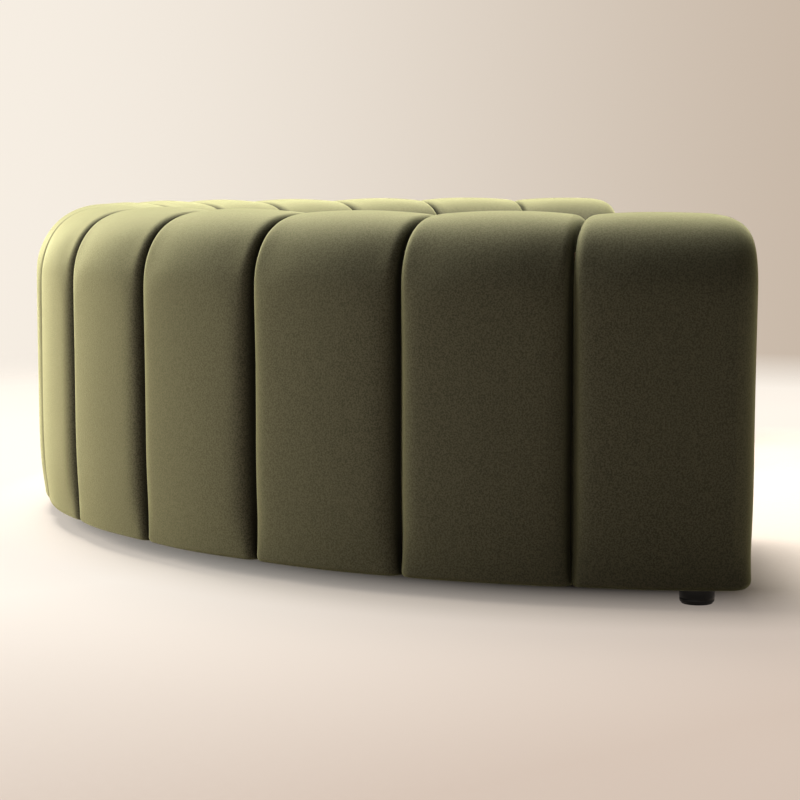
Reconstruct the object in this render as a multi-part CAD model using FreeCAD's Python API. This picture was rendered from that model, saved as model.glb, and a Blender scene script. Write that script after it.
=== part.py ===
import FreeCAD, Part
import math
import os

# A half-round channelled sofa. The open side faces -Y and the origin lies on the floor.
# Sizes are in millimetres and angles in degrees.

# Overall form
outer_radius = 1500.0
sweep_angle = 180.0
channel_count = 14
overall_height = 710.0
foot_height = 38.0
back_thickness = 350.0
seat_depth = 590.0
seat_height = 430.0

# Rounded corners of the padding, and how many short flats stand for each
back_corner_radius = 140.0
seat_corner_radius = 90.0
bottom_edge_radius = 14.0
back_corner_flats = 8
seat_corner_flats = 6
bottom_edge_flats = 2
foam_corner_flats = 3

# Sewn grooves between channels and the rounder corners at the two free ends:
# how far in they go, and how far from the seam or the end the padding starts to round over
back_groove_depth = 38.0
back_end_drop = 60.0
back_rounding_reach = 70.0
seat_groove_depth = 28.0
seat_end_drop = 40.0
seat_rounding_reach = 48.0
bottom_rise_share = 0.3
soft_gap = 0.3

# Layers of the padding
cover_thickness = 18.0
foam_bottom_clearance = 18.0
back_foam_setback = 45.0
seat_foam_setback = 30.0
back_padding_outside = 66.0
back_padding_inside = 52.0
back_padding_top = 70.0
seat_padding_front = 43.0
seat_padding_top = 141.0
end_padding = 40.0

# Timber frame
board_thickness = 5.0
top_board_thickness = 18.0
rib_thickness = 18.0
frame_above_bottom_edge = 6.0
bottom_rail_width = 90.0
bottom_rail_height = 30.0
middle_rail_ahead = 100.0
seat_rail_width = 35.0
seat_rail_height = 50.0
rib_window_margin = 80.0
rib_window_width = 250.0

# Webbing and cloths
strap_width = 50.0
strap_thickness = 1.5
cross_strap_count = 3
cross_strap_margin = 90.0
deck_cloth_thickness = 1.0
dust_cover_thickness = 1.0
dust_cover_foot_margin = 12.0

# Feet and the studs that hold them
foot_radius = 33.0
foot_base_radius = 31.0
stud_radius = 4.0
stud_length = 44.0
stud_depth_in_foot = 20.0
stud_clearance = 0.2
end_foot_inset = 108.0
end_foot_from_end = 92.0
middle_foot_channels = 4, 7, 8, 11
front_foot_channels = 5, 10

# Values worked out from the sizes above
half_angle = math.radians(sweep_angle / channel_count / 2)
centre_y = -outer_radius / 2
inner_radius = outer_radius - back_thickness
front_radius = inner_radius - seat_depth
padding_bottom = foot_height
frame_bottom = foot_height + frame_above_bottom_edge
frame_top = overall_height - back_padding_top
seat_deck = seat_height - seat_padding_top
seat_frame_top = seat_deck - deck_cloth_thickness - 2 * strap_thickness
crown_lift = back_rounding_reach * math.sin(half_angle)
outside_face = outer_radius * math.cos(half_angle) + crown_lift
inside_face = inner_radius * math.cos(half_angle) + crown_lift
front_face = front_radius * math.cos(half_angle) + seat_rounding_reach * math.sin(half_angle)
outside_board_face = outside_face - back_padding_outside
outside_board_back = outside_board_face - board_thickness
inside_board_face = inside_face + back_padding_inside
inside_board_back = inside_board_face + board_thickness
middle_rail_front = inside_board_back - middle_rail_ahead
front_board_face = front_face + seat_padding_front
front_board_back = front_board_face + board_thickness
seat_back_plane = inside_face - soft_gap
rib_gap = rib_thickness / 2
end_rib_inner_gap = end_padding + rib_thickness
foam_bottom = padding_bottom + foam_bottom_clearance
overshoot = 20.0


def point(x, y, z):
    return FreeCAD.Vector(x, y, z)


def in_channel(shape, channel):
    """Turn a shape made with the channel's middle along +Y into its place on the half circle."""
    turn = 90.0 - math.degrees(half_angle) * (2 * channel - 1)
    moved = shape.copy()
    moved.rotate(point(0, 0, 0), point(0, 0, 1), turn)
    moved.translate(point(0, centre_y, 0))
    return moved


def flat_faced(rings):
    """A closed solid through rings of points, with a flat face between each pair of matching edges."""
    outlines = [rings[0], rings[-1]]
    for ring, after in zip(rings, rings[1:]):
        for here in range(len(ring)):
            there = (here + 1) % len(ring)
            outlines.append([ring[here], ring[there], after[there], after[here]])
    faces = [Part.Face(Part.makePolygon(outline + outline[:1])) for outline in outlines]
    shell = Part.makeShell(faces)
    shell.sewShape()
    solid = Part.makeSolid(Part.Shell(shell.Faces))
    if solid.Volume < 0:
        solid.reverse()
    return solid


def seam_line(side, gap):
    """A line beside a seam: side is -1 for the channel's first seam and 1 for its second."""
    def at(distance):
        return side * (distance * math.tan(half_angle) - gap / math.cos(half_angle))
    return at


def between_seams(profile, first, second):
    """A piece with one profile (distance from the arc's centre, height) from one line to another."""
    return flat_faced([[point(line(distance), distance, height) for distance, height in profile]
                       for line in (first, second)])


def rectangle(low, high, bottom, top):
    return [(low, bottom), (high, bottom), (high, top), (low, top)]


def gaps_of(channel, gap, end_gap):
    """The two lines that a piece of this channel ends at, with a wider gap at a free end."""
    first = end_gap if channel == 1 else gap
    second = end_gap if channel == channel_count else gap
    return seam_line(-1, first), seam_line(1, second)


def all_channels(profile, gap, end_gap):
    """One piece in each channel, as a group of solids."""
    pieces = []
    for channel in range(1, channel_count + 1):
        first, second = gaps_of(channel, gap, end_gap)
        pieces.append(in_channel(between_seams(profile, first, second), channel))
    return pieces


def export(name, solids):
    shape = solids[0] if len(solids) == 1 else Part.makeCompound(solids)
    shape.exportStep("parts/" + name + ".step")


# Where the sections of a padded channel stand, as shares of the reach from a seam to the crown
section_shares = 0.0, 0.07, 0.25, 0.55, 1.0


def roundness(share):
    """How far a quarter ellipse lies below its crown, where share is 1 at the crown and 0 at its end."""
    return 1.0 - math.sqrt(1.0 - (1.0 - share) ** 2)


def corner(centre, across, up, flats):
    """A rounded corner in short flats, from its side to its top."""
    turns = [math.radians(90.0 * step / flats) for step in range(flats + 1)]
    return [(centre[0] + across * math.cos(turn), centre[1] + up * math.sin(turn)) for turn in turns]


def bottom_edge(face, inward, rise):
    """The roll of the padding under its bottom edge, from below to the side."""
    centre = (face + inward * bottom_edge_radius, padding_bottom + rise + bottom_edge_radius)
    return corner(centre, -inward * bottom_edge_radius, -bottom_edge_radius, bottom_edge_flats)[::-1]


def back_section(drop, seam_distance):
    """Outline of a back channel: up the outside, over the top and down the inside."""
    height = overall_height - back_corner_radius
    outer_centre = (outer_radius - back_corner_radius, height)
    inner_centre = (inner_radius + back_corner_radius, height)
    radius = back_corner_radius - drop
    rise = drop * bottom_rise_share
    outline = bottom_edge(outer_radius - drop, -1, rise)
    outline += corner(outer_centre, radius, radius, back_corner_flats)
    outline += corner(inner_centre, -radius, radius, back_corner_flats)[::-1]
    outline.append((inner_radius + drop, padding_bottom + rise))
    return outline


def seat_section(drop, seam_distance):
    """Outline of a seat channel: up the front, over its edge and back along the top to the back."""
    centre = (front_radius + seat_corner_radius, seat_height - seat_corner_radius)
    radius = seat_corner_radius - drop
    rise = drop * bottom_rise_share
    back = (seat_back_plane - seam_distance * math.sin(half_angle)) / math.cos(half_angle)
    outline = bottom_edge(front_radius + drop, 1, rise)
    outline += corner(centre, -radius, radius, seat_corner_flats)
    outline += [(back, seat_height - drop), (back, padding_bottom + rise)]
    return outline


def beside_seam(side, seam_distance, outline):
    """Points of an outline in the upright plane that lies this far beside a seam."""
    places = []
    for away, height in outline:
        across = side * (away * math.sin(half_angle) - seam_distance * math.cos(half_angle))
        along = away * math.cos(half_angle) + seam_distance * math.sin(half_angle)
        places.append(point(across, along, height))
    return places


def crowned_channel(channel, make_section, groove_depth, end_drop, reach):
    """A channel of padding, full along its middle and rounded down to its seams or its free end."""
    rings = []
    for side in (-1, 1):
        is_end = channel == (1 if side == -1 else channel_count)
        depth = end_drop if is_end else groove_depth
        start = 0.0 if is_end else soft_gap / 2
        half = []
        for share in section_shares:
            seam_distance = start + share * (reach - start)
            half.append(beside_seam(side, seam_distance, make_section(depth * roundness(share), seam_distance)))
        rings += half if side == -1 else half[::-1]
    return flat_faced(rings)


def back_foam_profile():
    """Foam strip bent over the back of the frame, inside the cover."""
    height = overall_height - back_corner_radius
    reach = back_corner_radius - cover_thickness
    outside = corner((outside_face - back_corner_radius, height), reach, reach, foam_corner_flats)
    inside = corner((inside_face + back_corner_radius, height), -reach, reach, foam_corner_flats)[::-1]
    profile = [(outside_board_face, foam_bottom), (outside[0][0], foam_bottom)]
    profile += outside + inside
    profile += [(inside[-1][0], seat_deck), (inside_board_face, seat_deck)]
    profile += [(inside_board_face, frame_top), (outside_board_face, frame_top)]
    return profile


def seat_foam_profile():
    """Foam of the seat, with the thinner layer that hangs down in front."""
    reach = seat_corner_radius - cover_thickness
    centre = (front_face + seat_corner_radius, seat_height - seat_corner_radius)
    front = corner(centre, -reach, reach, foam_corner_flats)
    back = seat_back_plane - cover_thickness
    profile = [(front_board_face, foam_bottom), (front[0][0], foam_bottom)]
    profile += front
    profile += [(back, front[-1][1]), (back, seat_deck), (front_board_face, seat_deck)]
    return profile


def make_channels():
    """The channels of the back and of the seat, hollow where the frame and their own foam are."""
    below = padding_bottom - overshoot
    inside_limit = inner_radius - back_thickness
    back_frame = [(outside_board_face, below), (outside_board_face, frame_top),
                  (inside_board_face, frame_top), (inside_board_face, seat_deck),
                  (inside_limit, seat_deck), (inside_limit, below)]
    seat_frame = rectangle(front_board_face, outer_radius, below, seat_deck)
    kinds = (
        ("back", back_section, back_groove_depth, back_end_drop, back_rounding_reach,
         back_frame, back_foam_profile(), back_foam_setback),
        ("seat", seat_section, seat_groove_depth, seat_end_drop, seat_rounding_reach,
         seat_frame, seat_foam_profile(), seat_foam_setback),
    )
    for name, make_section, groove_depth, end_drop, reach, frame_profile, foam_profile, setback in kinds:
        foams = []
        for channel in range(1, channel_count + 1):
            foam = between_seams(foam_profile, *gaps_of(channel, setback, end_padding + cover_thickness))
            frame = between_seams(frame_profile, *gaps_of(channel, -overshoot, end_padding))
            padding = crowned_channel(channel, make_section, groove_depth, end_drop, reach)
            padding = padding.cut(frame).cut(foam)
            export("%s_channel_%02d" % (name, channel), [in_channel(padding, channel)])
            foams.append(in_channel(foam, channel))
        export(name + "_foam", foams)


def foot_places():
    """Channel, distance from the arc's centre and sideways place of each foot."""
    places = []
    middle = middle_rail_front + bottom_rail_width / 2
    front = front_board_back + bottom_rail_width / 2
    for channel, side in ((1, -1), (channel_count, 1)):
        for distance in (outer_radius - end_foot_inset, front):
            line_at = seam_line(side, end_foot_from_end)
            places.append((channel, distance, line_at(distance)))
    places += [(channel, middle, 0.0) for channel in middle_foot_channels]
    places += [(channel, front, 0.0) for channel in front_foot_channels]
    return places


def six_sided(radius, bottom, top, distance, sideways):
    """A stud or its hole, drawn with six sides for the thread."""
    turns = [math.radians(60 * corner) for corner in range(7)]
    corners = [point(sideways + radius * math.cos(turn), distance + radius * math.sin(turn), bottom)
               for turn in turns]
    return Part.Face(Part.makePolygon(corners)).extrude(point(0, 0, top - bottom))


def make_feet():
    """Round feet under the rails and the studs that hold them."""
    feet = []
    studs = []
    stud_bottom = frame_bottom - stud_depth_in_foot
    for channel, distance, sideways in foot_places():
        foot = Part.makeCone(foot_base_radius, foot_radius, frame_bottom, point(sideways, distance, 0))
        hole = six_sided(stud_radius + stud_clearance, stud_bottom, frame_bottom + overshoot,
                         distance, sideways)
        stud = six_sided(stud_radius, stud_bottom, stud_bottom + stud_length, distance, sideways)
        feet.append(in_channel(foot.cut(hole), channel))
        studs.append(in_channel(stud, channel))
    export("feet", feet)
    export("foot_studs", studs)


def drilled(rails):
    """Rails with a hole for each stud that stands in them."""
    done = []
    holes = []
    for channel, distance, sideways in foot_places():
        hole = six_sided(stud_radius + stud_clearance, frame_bottom - overshoot,
                         frame_bottom + bottom_rail_height + overshoot, distance, sideways)
        holes.append(in_channel(hole, channel))
    for rail in rails:
        near = [hole for hole in holes if hole.distToShape(rail)[0] < stud_clearance]
        done.append(rail.cut(Part.makeCompound(near)) if near else rail)
    return done


def make_ribs():
    """An L-shaped plywood rib at each seam, bevelled to the boards, and a closed one at each free end."""
    seat_part_back = inside_board_back
    profile = [
        (front_board_back, frame_bottom), (outside_board_back, frame_bottom),
        (outside_board_back, frame_top - top_board_thickness),
        (seat_part_back, frame_top - top_board_thickness),
        (seat_part_back, seat_frame_top), (front_board_back, seat_frame_top)]
    middle = (front_board_back + middle_rail_front) / 2
    window = rectangle(middle - rib_window_width / 2, middle + rib_window_width / 2,
                       frame_bottom + rib_window_margin, seat_frame_top - rib_window_margin)
    ribs = []
    for channel in range(1, channel_count):
        halves = []
        for owner, side in ((channel, 1), (channel + 1, -1)):
            half = between_seams(profile, seam_line(side, rib_gap), seam_line(side, 0.0))
            opening = between_seams(window, seam_line(side, rib_gap + overshoot),
                                    seam_line(side, -overshoot))
            halves.append(in_channel(half.cut(opening), owner))
        ribs.append(halves[0].fuse(halves[1]).removeSplitter())
    export("seam_ribs", ribs)
    ends = []
    for channel, side in ((1, -1), (channel_count, 1)):
        panel = between_seams(profile, seam_line(side, end_padding), seam_line(side, end_rib_inner_gap))
        ends.append(in_channel(panel, channel))
    export("end_panels", ends)


def make_rails():
    """Rails between the ribs: three low ones that carry the feet and two that hold the webbing."""
    low_top = frame_bottom + bottom_rail_height
    outer = rectangle(outside_board_back - bottom_rail_width, outside_board_back, frame_bottom, low_top)
    middle = rectangle(middle_rail_front, middle_rail_front + bottom_rail_width, frame_bottom, low_top)
    front = rectangle(front_board_back, front_board_back + bottom_rail_width, frame_bottom, low_top)
    for name, profile in (("bottom_rail_outer", outer), ("bottom_rail_middle", middle),
                          ("bottom_rail_front", front)):
        export(name, drilled(all_channels(profile, rib_gap, end_rib_inner_gap)))
    rail_top = seat_frame_top + strap_thickness
    rail_bottom = rail_top - seat_rail_height
    front = rectangle(front_board_back, front_board_back + seat_rail_width, rail_bottom, rail_top)
    back = rectangle(inside_board_back, inside_board_back + seat_rail_width, rail_bottom, rail_top)
    export("seat_rail_front", all_channels(front, rib_gap, end_rib_inner_gap))
    export("seat_rail_back", all_channels(back, rib_gap, end_rib_inner_gap))


def make_boards():
    """Thin boards over the ribs and the thick board along the top of the back."""
    outside = rectangle(outside_board_back, outside_board_face, frame_bottom, frame_top)
    inside = rectangle(inside_board_face, inside_board_back, seat_deck, frame_top)
    front = rectangle(front_board_face, front_board_back, frame_bottom, seat_frame_top)
    top = rectangle(inside_board_back, outside_board_back, frame_top - top_board_thickness, frame_top)
    export("outside_back_boards", all_channels(outside, 0.0, end_padding))
    export("inside_back_boards", all_channels(inside, 0.0, end_padding))
    export("seat_front_boards", all_channels(front, 0.0, end_padding))
    export("top_board", all_channels(top, 0.0, end_padding))


def make_webbing():
    """Straps across each channel on the ribs, and one strap from the front rail to the back rail."""
    cross = []
    low = front_board_back + seat_rail_width + cross_strap_margin
    high = inside_board_back - cross_strap_margin
    step = (high - low) / (cross_strap_count - 1)
    for number in range(cross_strap_count):
        middle = low + number * step
        profile = rectangle(middle - strap_width / 2, middle + strap_width / 2,
                            seat_frame_top, seat_frame_top + strap_thickness)
        cross += all_channels(profile, 0.0, end_padding)
    export("webbing_across", cross)
    radial = []
    strap_start = front_board_back
    strap_end = inside_board_back + seat_rail_width
    for channel in range(1, channel_count + 1):
        strap = Part.makeBox(strap_width, strap_end - strap_start, strap_thickness,
                             point(-strap_width / 2, strap_start, seat_frame_top + strap_thickness))
        radial.append(in_channel(strap, channel))
    export("webbing_front_to_back", radial)


def joined(pieces):
    whole = pieces[0].multiFuse(pieces[1:])
    return whole.removeSplitter()


def make_cloths():
    """The cloth over the webbing and the dust cover under the frame, cut out round the feet."""
    deck_bottom = seat_deck - deck_cloth_thickness
    deck = rectangle(front_board_back, inside_board_face, deck_bottom, seat_deck)
    export("deck_cloth", [joined(all_channels(deck, 0.0, end_padding))])
    dust = rectangle(front_board_face, outside_board_face, frame_bottom - dust_cover_thickness, frame_bottom)
    cover = joined(all_channels(dust, 0.0, end_padding))
    half = foot_radius + dust_cover_foot_margin
    openings = []
    for channel, distance, sideways in foot_places():
        cut = Part.makeBox(2 * half, 2 * half, frame_bottom,
                           point(sideways - half, distance - half, dust_cover_thickness))
        openings.append(in_channel(cut, channel))
    export("dust_cover", [cover.cut(Part.makeCompound(openings))])


make_channels()
make_ribs()
make_rails()
make_boards()
make_webbing()
make_cloths()
make_feet()
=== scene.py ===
import math

import bpy
import numpy as np
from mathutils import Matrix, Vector, noise


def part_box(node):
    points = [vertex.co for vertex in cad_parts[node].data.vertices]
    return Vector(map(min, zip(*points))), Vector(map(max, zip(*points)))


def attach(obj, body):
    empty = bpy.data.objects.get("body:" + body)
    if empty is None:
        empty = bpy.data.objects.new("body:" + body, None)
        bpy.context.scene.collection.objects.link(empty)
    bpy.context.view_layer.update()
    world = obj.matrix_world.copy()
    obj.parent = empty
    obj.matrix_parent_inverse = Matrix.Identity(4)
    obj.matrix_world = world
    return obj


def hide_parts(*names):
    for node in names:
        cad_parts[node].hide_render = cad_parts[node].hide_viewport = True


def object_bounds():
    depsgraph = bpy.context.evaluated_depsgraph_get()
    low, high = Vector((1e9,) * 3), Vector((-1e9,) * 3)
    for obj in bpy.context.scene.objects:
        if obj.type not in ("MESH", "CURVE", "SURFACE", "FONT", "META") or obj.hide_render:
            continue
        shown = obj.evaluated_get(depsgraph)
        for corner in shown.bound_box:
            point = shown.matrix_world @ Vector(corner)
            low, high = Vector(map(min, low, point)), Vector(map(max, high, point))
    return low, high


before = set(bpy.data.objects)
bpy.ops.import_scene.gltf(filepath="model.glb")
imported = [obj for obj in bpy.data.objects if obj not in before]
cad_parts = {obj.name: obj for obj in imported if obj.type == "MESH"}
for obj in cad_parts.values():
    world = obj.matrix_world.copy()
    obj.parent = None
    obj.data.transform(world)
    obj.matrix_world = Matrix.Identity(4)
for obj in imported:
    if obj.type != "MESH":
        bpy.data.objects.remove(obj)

bl_info = {
    "name": "Curved Channel Sofa",
    "version": (1, 0, 0),
    "blender": (4, 5, 0),
    "location": "3D View > Sidebar > Sofa",
    "description": "Upholsters a half-round channelled sofa over its timber frame and lights it",
    "category": "Object",
}

CAD_LOW, CAD_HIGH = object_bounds()
CHANNEL_COUNT = sum(name.startswith("back_channel_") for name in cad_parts)
HALF_ANGLE = math.pi / CHANNEL_COUNT / 2

# Places in the frame
BACK_BOARDS_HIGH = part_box("outside_back_boards")[1]
BOARD_OUTSIDE = BACK_BOARDS_HIGH.x
FRAME_TOP = BACK_BOARDS_HIGH.z
DECK_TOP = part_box("deck_cloth")[1].z
ARC_CENTRE_Y = CAD_LOW.y

# Distance of the boards' flat faces from the arc's centre
FRONT_BOARD_FACE = 0.6049
INSIDE_BOARD = 1.2026

# How far the back stands inside the solids' radius, and its crest above the solids' top
SETTLED = 0.008
CREST_PROUD = 0.003

TINY = 1e-9


class SofaSizes(bpy.types.PropertyGroup):
    """Sizes of the upholstery"""
    outer_radius: bpy.props.FloatProperty(
        name="Outer Radius", description="From the arc's centre to the outside of the back",
        default=CAD_HIGH.x - SETTLED, unit="LENGTH")
    overall_height: bpy.props.FloatProperty(
        name="Height", description="From the floor to the top of the back",
        default=CAD_HIGH.z + CREST_PROUD, unit="LENGTH")
    foot_height: bpy.props.FloatProperty(
        name="Floor Gap", description="From the floor to the bottom edge of the padding",
        default=0.035, unit="LENGTH")
    back_thickness: bpy.props.FloatProperty(
        name="Back Thickness", description="From the outside to the inside of the back",
        default=0.35 - SETTLED, unit="LENGTH")
    seat_depth: bpy.props.FloatProperty(
        name="Seat Depth", description="From the front of the seat to the back",
        default=0.59, unit="LENGTH")
    seat_height: bpy.props.FloatProperty(
        name="Seat Height", description="From the floor to the top of the seat",
        default=0.43, unit="LENGTH")
    jacket_thickness: bpy.props.FloatProperty(
        name="Jacket", description="Thickness of the cover with its wadding",
        default=0.010, unit="LENGTH")
    back_groove_depth: bpy.props.FloatProperty(
        name="Back Groove", description="How deep the sewn grooves of the back are",
        default=0.026, unit="LENGTH")
    seat_groove_depth: bpy.props.FloatProperty(
        name="Seat Groove", description="How deep the sewn grooves of the seat are",
        default=0.026, unit="LENGTH")
    swell: bpy.props.FloatProperty(
        name="Swell", description="How far the filling may push the cover out",
        default=0.005, unit="LENGTH")


class SofaFinishes(bpy.types.PropertyGroup):
    """Colours of the materials"""
    velvet: bpy.props.FloatVectorProperty(
        name="Velvet", description="Colour of the pile seen straight on", subtype="COLOR",
        size=3, min=0.0, max=1.0, default=(0.060, 0.058, 0.038))
    velvet_sheen: bpy.props.FloatVectorProperty(
        name="Velvet Sheen", description="Colour of the tips of the pile", subtype="COLOR",
        size=3, min=0.0, max=1.0, default=(0.86, 0.86, 0.50))
    # Painted sheen: the velvet's colour turns towards this where the surface is seen edge-on
    velvet_painted_sheen: bpy.props.FloatVectorProperty(
        name="Velvet Bloom", description="Colour of the pile seen along the surface", subtype="COLOR",
        size=3, min=0.0, max=1.0, default=(0.53, 0.53, 0.26))
    foot: bpy.props.FloatVectorProperty(
        name="Foot", description="Colour of the moulded feet", subtype="COLOR",
        size=3, min=0.0, max=1.0, default=(0.006, 0.0065, 0.0065))
    felt: bpy.props.FloatVectorProperty(
        name="Felt", description="Colour of the glides under the feet", subtype="COLOR",
        size=3, min=0.0, max=1.0, default=(0.02, 0.018, 0.016))


class SofaStage(bpy.types.PropertyGroup):
    """Floor, light and camera"""
    floor: bpy.props.FloatVectorProperty(
        name="Floor", description="Colour of the floor", subtype="COLOR",
        size=3, min=0.0, max=1.0, default=(0.68, 0.61, 0.54))
    # Painted light: the floor as the camera sees it runs from the dim to the light colour
    lit_floor: bpy.props.FloatVectorProperty(
        name="Light Floor", description="Floor as it is seen towards the light", subtype="COLOR",
        size=3, min=0.0, max=1.0, default=(0.95, 0.89, 0.81))
    dim_floor: bpy.props.FloatVectorProperty(
        name="Dim Floor", description="Floor as it is seen away from the light", subtype="COLOR",
        size=3, min=0.0, max=1.0, default=(0.62, 0.50, 0.42))
    # Painted light: the backdrop runs from the dim to the light colour
    lit_wall: bpy.props.FloatVectorProperty(
        name="Light Side", description="Background colour towards the light", subtype="COLOR",
        size=3, min=0.0, max=1.0, default=(0.93, 0.86, 0.77))
    dim_wall: bpy.props.FloatVectorProperty(
        name="Dim Side", description="Background colour away from the light", subtype="COLOR",
        size=3, min=0.0, max=1.0, default=(0.56, 0.46, 0.37))
    camera_place: bpy.props.FloatVectorProperty(
        name="Camera", description="Where the camera stands", subtype="TRANSLATION",
        size=3, unit="LENGTH", default=(-5.505, -0.115, 0.779))
    camera_pitch: bpy.props.FloatProperty(
        name="Camera Pitch", description="How far the camera looks down", subtype="ANGLE",
        default=math.radians(5.64))
    lens: bpy.props.FloatProperty(
        name="Lens", description="Focal length on a 36 mm sensor", default=102.6, unit="CAMERA")


def sizes():
    """The sizes that the panel shows."""
    return bpy.context.scene.sofa_sizes


def smooth_step(low, high, value):
    """0 up to low, 1 from high on, and a smooth rise between them."""
    share = np.clip((value - low) / (high - low), 0.0, 1.0)
    return share * share * (3.0 - 2.0 * share)


def arc_points(centre, across, up, power, steps):
    """A rounded corner from its side to its top, after a superellipse."""
    points = []
    for step in range(steps + 1):
        turn = math.pi / 2 * step / steps
        points.append((centre[0] + across * max(math.cos(turn), 0.0) ** (2 / power),
                       centre[1] + up * math.sin(turn) ** (2 / power)))
    return points


def run_points(start, end, steps):
    """Points after the start of a straight run, without its end."""
    return [(start[0] + (end[0] - start[0]) * step / steps, start[1] + (end[1] - start[1]) * step / steps)
            for step in range(1, steps)]


def normals_of(loop):
    """Directions square to a closed outline: outward if it runs anticlockwise."""
    along = np.roll(loop, -1, axis=0) - np.roll(loop, 1, axis=0)
    out = np.stack([along[:, 1], -along[:, 0]], axis=1)
    return out / np.maximum(np.linalg.norm(out, axis=1, keepdims=True), TINY)


# Top corners: width, height and the power of their superellipse, which is 2 for a quarter circle
BACK_CORNER = (0.165, 0.160, 2.4)
SEAT_CORNER = (0.105, 0.100, 2.3)
HEEL = 0.022
ROUND = 2

# The small roll along the bottom edge, and how the cover is drawn in towards it
EDGE_ROLL = 0.014
TUCK = 0.0095
TUCK_HEIGHT = 0.22
END_TUCK = 0.006
END_ROLL = 0.018

# The cover's start over the boards' faces, and the seat's distance from the back
START_OVERLAP = 0.001
BACK_CLEARANCE = 0.0012

# Steps of each outline, and of its shown and its hidden bottom roll
BACK_STEPS = {"to_roll": 4, "up": 13, "corner": 13, "down": 8, "underneath": 16}
SEAT_STEPS = {"to_roll": 3, "up": 8, "corner": 11, "top": 15, "heel": 4, "down": 4, "underneath": 22}
ROLL_STEPS = 5
HIDDEN_ROLL_STEPS = 4


def tuck(height):
    """How far the cover is drawn in towards its bottom edge."""
    above = max(height - sizes().foot_height, 0.0)
    return TUCK * max(1.0 - above / TUCK_HEIGHT, 0.0) ** 2


def end_tuck(heights):
    """How far a free end is drawn in at each height, with a small roll at its bottom edge."""
    above = heights - sizes().foot_height
    drawn_in = END_TUCK * np.clip(1.0 - above / TUCK_HEIGHT, 0.0, 1.0) ** 2
    return drawn_in + END_ROLL * rounding(1.0 - above / END_ROLL, ROUND)


def bottom_roll(edge, side, steps):
    """The roll at a bottom edge, from its upright side down. The side of an inner edge is -1."""
    centre = (edge - side * EDGE_ROLL, sizes().foot_height + EDGE_ROLL)
    return arc_points(centre, side * EDGE_ROLL, -EDGE_ROLL, ROUND, steps)


def hidden_part(shown, edge, side, underneath):
    """The rest of an outline, which only a free end shows: down, round the bottom edge and underneath."""
    roll = bottom_roll(edge, side, HIDDEN_ROLL_STEPS)
    down = len(shown) - len(roll) - underneath + 2
    return run_points(shown[-1], roll[0], down) + roll + run_points(roll[-1], shown[0], underneath)


def back_outline():
    """Outline of the back as (radius, height): its shown part, then the part that a free end adds."""
    size = sizes()
    steps = BACK_STEPS
    outside = size.outer_radius
    inside = outside - size.back_thickness
    middle = outside - size.back_thickness / 2
    wide, high, power = BACK_CORNER
    top = size.overall_height
    start = (BOARD_OUTSIDE + START_OVERLAP, size.foot_height)
    roll = bottom_roll(outside, 1, ROLL_STEPS)[::-1]
    outer = arc_points((outside - wide, top - high), wide, high, power, steps["corner"])
    inner = arc_points((inside + wide, top - high), -wide, high, power, steps["corner"])[::-1]
    shown = [start] + run_points(start, roll[0], steps["to_roll"]) + roll
    shown += run_points(roll[-1], outer[0], steps["up"]) + outer
    shown += [((inside + outside) / 2, top)] + inner
    shown += run_points(inner[-1], (inside, DECK_TOP), steps["down"]) + [(inside, DECK_TOP)]
    hidden = hidden_part(shown, inside, -1, steps["underneath"])
    tucked = [(radius - tuck(height) if radius > middle else radius, height) for radius, height in shown]
    return tucked, hidden


def seat_outline():
    """Outline of the seat: from its front bottom edge over the top to the back, then a free end's rest."""
    size = sizes()
    steps = SEAT_STEPS
    front = size.outer_radius - size.back_thickness - size.seat_depth
    back = size.outer_radius - size.back_thickness - BACK_CLEARANCE
    wide, high, power = SEAT_CORNER
    top = size.seat_height
    start = (FRONT_BOARD_FACE - START_OVERLAP, size.foot_height)
    roll = bottom_roll(front, -1, ROLL_STEPS)[::-1]
    corner = arc_points((front + wide, top - high), -wide, high, power, steps["corner"])
    heel = arc_points((back - HEEL, top - HEEL), HEEL, HEEL, ROUND, steps["heel"])[::-1]
    shown = [start] + run_points(start, roll[0], steps["to_roll"]) + roll
    shown += run_points(roll[-1], corner[0], steps["up"]) + corner
    shown += run_points(corner[-1], heel[0], steps["top"]) + heel
    shown += run_points(heel[-1], (back, DECK_TOP), steps["down"]) + [(back, DECK_TOP)]
    hidden = hidden_part(shown, back, 1, steps["underneath"])
    middle = (front + back) / 2
    tucked = [(radius + tuck(height) if radius < middle else radius, height) for radius, height in shown]
    return tucked, hidden


# How a seam draws the cover in, and how far a channel falls away from its middle to its seams
SEAM_POWER = 2.1
BACK_SEAM_REACH = 0.019
SEAT_SEAM_REACH = 0.030
FACE_CROWN = 0.0045
SEAM_STEPS = 12
CLOSE_TO_SEAM = 0.998
SEAM_GAP = 0.0004

# Near its bottom edge the cover is drawn in level and a little up, less and less close to the board
LEVEL_HEIGHT = 4
BOARD_FADE = 0.05
BOTTOM_LIFT = 0.3

# The wall of a free end: its rounding, how proud it stands, its bulge and its rings
END_POWER = 2.6
END_PROUD = 0.004
END_BULGE = 0.004
END_FADE_POWER = 4
END_RINGS = 7

# A free end is solid up to the first distance from its seam line and hollow from the second on
END_WALL = (0.0365, 0.0393)
WALL_ROOM = 0.06

# Room that the cover leaves for its swelling, and the points of its start that the frame holds
START_SMALL = 0.004
HELD_AT_START = 4


def rounding(share, power):
    """How far a superellipse lies below its crown, from 0 at the crown to 1 at its end."""
    return 1.0 - (1.0 - np.clip(share, 0.0, 1.0) ** power) ** (1.0 / power)


def seam_places(with_end):
    """Places across a channel, from -1 at its first seam to 1 at its second, closer near the seams."""
    places = [math.sin(math.pi / 2 * step / SEAM_STEPS) for step in range(-SEAM_STEPS, SEAM_STEPS + 1)]
    places += [-CLOSE_TO_SEAM, CLOSE_TO_SEAM]
    if with_end:
        span = sizes().outer_radius * HALF_ANGLE
        walls = [-1.0 + wall / span for wall in END_WALL]
        places = [place for place in places if abs(place - walls[1]) > WALL_ROOM] + walls
    return sorted(places)


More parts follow.
